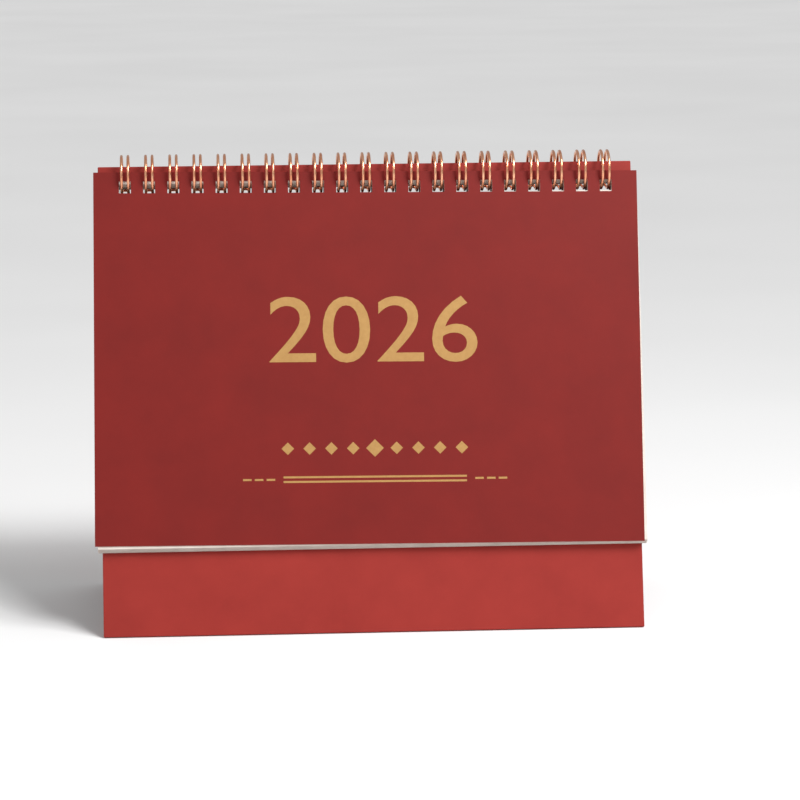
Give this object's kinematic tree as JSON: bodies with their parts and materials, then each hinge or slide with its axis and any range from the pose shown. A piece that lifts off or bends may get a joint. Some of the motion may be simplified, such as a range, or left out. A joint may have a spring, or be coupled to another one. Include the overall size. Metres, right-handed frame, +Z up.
{
  "type": "flip desk calendar",
  "caption": "Tent-shaped desk calendar: a folding stand of covered boards with a twin-loop wire on which a cover and month leaves turn.",
  "frame": {"origin": "on the table, under the middle of the binding wire, midway between the stand's feet", "axes": "+Z up; -Y is the front, where the cover faces; +X to the viewer's right; the wire lies along X"},
  "size_m": [0.1924, 0.086, 0.1634],
  "materials": {
    "red_paper": "matte",
    "lining_paper": "matte",
    "cover_card": "matte",
    "white_card": "matte",
    "copper_wire": "polished"
  },
  "bodies": {
    "stand_front": {"front_panel": "red_paper", "front_lining": "lining_paper", "binding_wire": "copper_wire"},
    "cover": {"cover_leaf": "cover_card"},
    "month_01": {"month_leaf_01": "white_card"},
    "month_02": {"month_leaf_02": "white_card"},
    "month_03": {"month_leaf_03": "white_card"},
    "month_04": {"month_leaf_04": "white_card"},
    "month_05": {"month_leaf_05": "white_card"},
    "month_06": {"month_leaf_06": "white_card"},
    "month_07": {"month_leaf_07": "white_card"},
    "month_08": {"month_leaf_08": "white_card"},
    "month_09": {"month_leaf_09": "white_card"},
    "month_10": {"month_leaf_10": "white_card"},
    "month_11": {"month_leaf_11": "white_card"},
    "month_12": {"month_leaf_12": "white_card"},
    "stand_back": {"back_panel": "red_paper", "back_lining": "lining_paper"},
    "base_front": {"base_board_front": "red_paper", "base_lining_front": "lining_paper"},
    "base_rear": {"base_board_rear": "red_paper", "base_lining_rear": "lining_paper"}
  },
  "joints": [
    {"name": "cover_flip", "type": "hinge", "parent": "stand_front", "child": "cover", "pos_m": [0, 0, 0.1565], "axis": [-1, 0, 0], "range_deg": [0, 240]},
    {"name": "month_01_flip", "type": "hinge", "parent": "stand_front", "child": "month_01", "pos_m": [0, 0, 0.1565], "axis": [-1, 0, 0], "range_deg": [0, 234]},
    {"name": "month_02_flip", "type": "hinge", "parent": "stand_front", "child": "month_02", "pos_m": [0, 0, 0.1565], "axis": [-1, 0, 0], "range_deg": [0, 228]},
    {"name": "month_03_flip", "type": "hinge", "parent": "stand_front", "child": "month_03", "pos_m": [0, 0, 0.1565], "axis": [-1, 0, 0], "range_deg": [0, 222]},
    {"name": "month_04_flip", "type": "hinge", "parent": "stand_front", "child": "month_04", "pos_m": [0, 0, 0.1565], "axis": [-1, 0, 0], "range_deg": [0, 216]},
    {"name": "month_05_flip", "type": "hinge", "parent": "stand_front", "child": "month_05", "pos_m": [0, 0, 0.1565], "axis": [-1, 0, 0], "range_deg": [0, 210]},
    {"name": "month_06_flip", "type": "hinge", "parent": "stand_front", "child": "month_06", "pos_m": [0, 0, 0.1565], "axis": [-1, 0, 0], "range_deg": [0, 204]},
    {"name": "month_07_flip", "type": "hinge", "parent": "stand_front", "child": "month_07", "pos_m": [0, 0, 0.1565], "axis": [-1, 0, 0], "range_deg": [0, 198]},
    {"name": "month_08_flip", "type": "hinge", "parent": "stand_front", "child": "month_08", "pos_m": [0, 0, 0.1565], "axis": [-1, 0, 0], "range_deg": [0, 192]},
    {"name": "month_09_flip", "type": "hinge", "parent": "stand_front", "child": "month_09", "pos_m": [0, 0, 0.1565], "axis": [-1, 0, 0], "range_deg": [0, 186]},
    {"name": "month_10_flip", "type": "hinge", "parent": "stand_front", "child": "month_10", "pos_m": [0, 0, 0.1565], "axis": [-1, 0, 0], "range_deg": [0, 180]},
    {"name": "month_11_flip", "type": "hinge", "parent": "stand_front", "child": "month_11", "pos_m": [0, 0, 0.1565], "axis": [-1, 0, 0], "range_deg": [0, 174]},
    {"name": "month_12_flip", "type": "hinge", "parent": "stand_front", "child": "month_12", "pos_m": [0, 0, 0.1565], "axis": [-1, 0, 0], "range_deg": [0, 168]},
    {"name": "stand_fold", "type": "hinge", "parent": "stand_front", "child": "stand_back", "pos_m": [0, 0.00024, 0.152], "axis": [-1, 0, 0], "range_deg": [0, 12]},
    {"name": "base_front_fold", "type": "hinge", "parent": "stand_front", "child": "base_front", "pos_m": [0, -0.04083, 0.0015], "axis": [1, 0, 0], "range_deg": [0, 66]},
    {"name": "base_rear_fold", "type": "hinge", "parent": "stand_back", "child": "base_rear", "pos_m": [0, 0.04083, 0.0015], "axis": [-1, 0, 0], "range_deg": [0, 66]}
  ],
  "couplings": [
    {"joint": "month_01_flip", "follows": "cover_flip", "ratio": 0.975},
    {"joint": "month_02_flip", "follows": "cover_flip", "ratio": 0.95},
    {"joint": "month_03_flip", "follows": "cover_flip", "ratio": 0.925},
    {"joint": "month_04_flip", "follows": "cover_flip", "ratio": 0.9},
    {"joint": "month_05_flip", "follows": "cover_flip", "ratio": 0.875},
    {"joint": "month_06_flip", "follows": "cover_flip", "ratio": 0.85},
    {"joint": "month_07_flip", "follows": "cover_flip", "ratio": 0.825},
    {"joint": "month_08_flip", "follows": "cover_flip", "ratio": 0.8},
    {"joint": "month_09_flip", "follows": "cover_flip", "ratio": 0.775},
    {"joint": "month_10_flip", "follows": "cover_flip", "ratio": 0.75},
    {"joint": "month_11_flip", "follows": "cover_flip", "ratio": 0.725},
    {"joint": "month_12_flip", "follows": "cover_flip", "ratio": 0.7},
    {"joint": "base_front_fold", "follows": "stand_fold", "ratio": 5.5},
    {"joint": "base_rear_fold", "follows": "stand_fold", "ratio": 5.5}
  ]
}
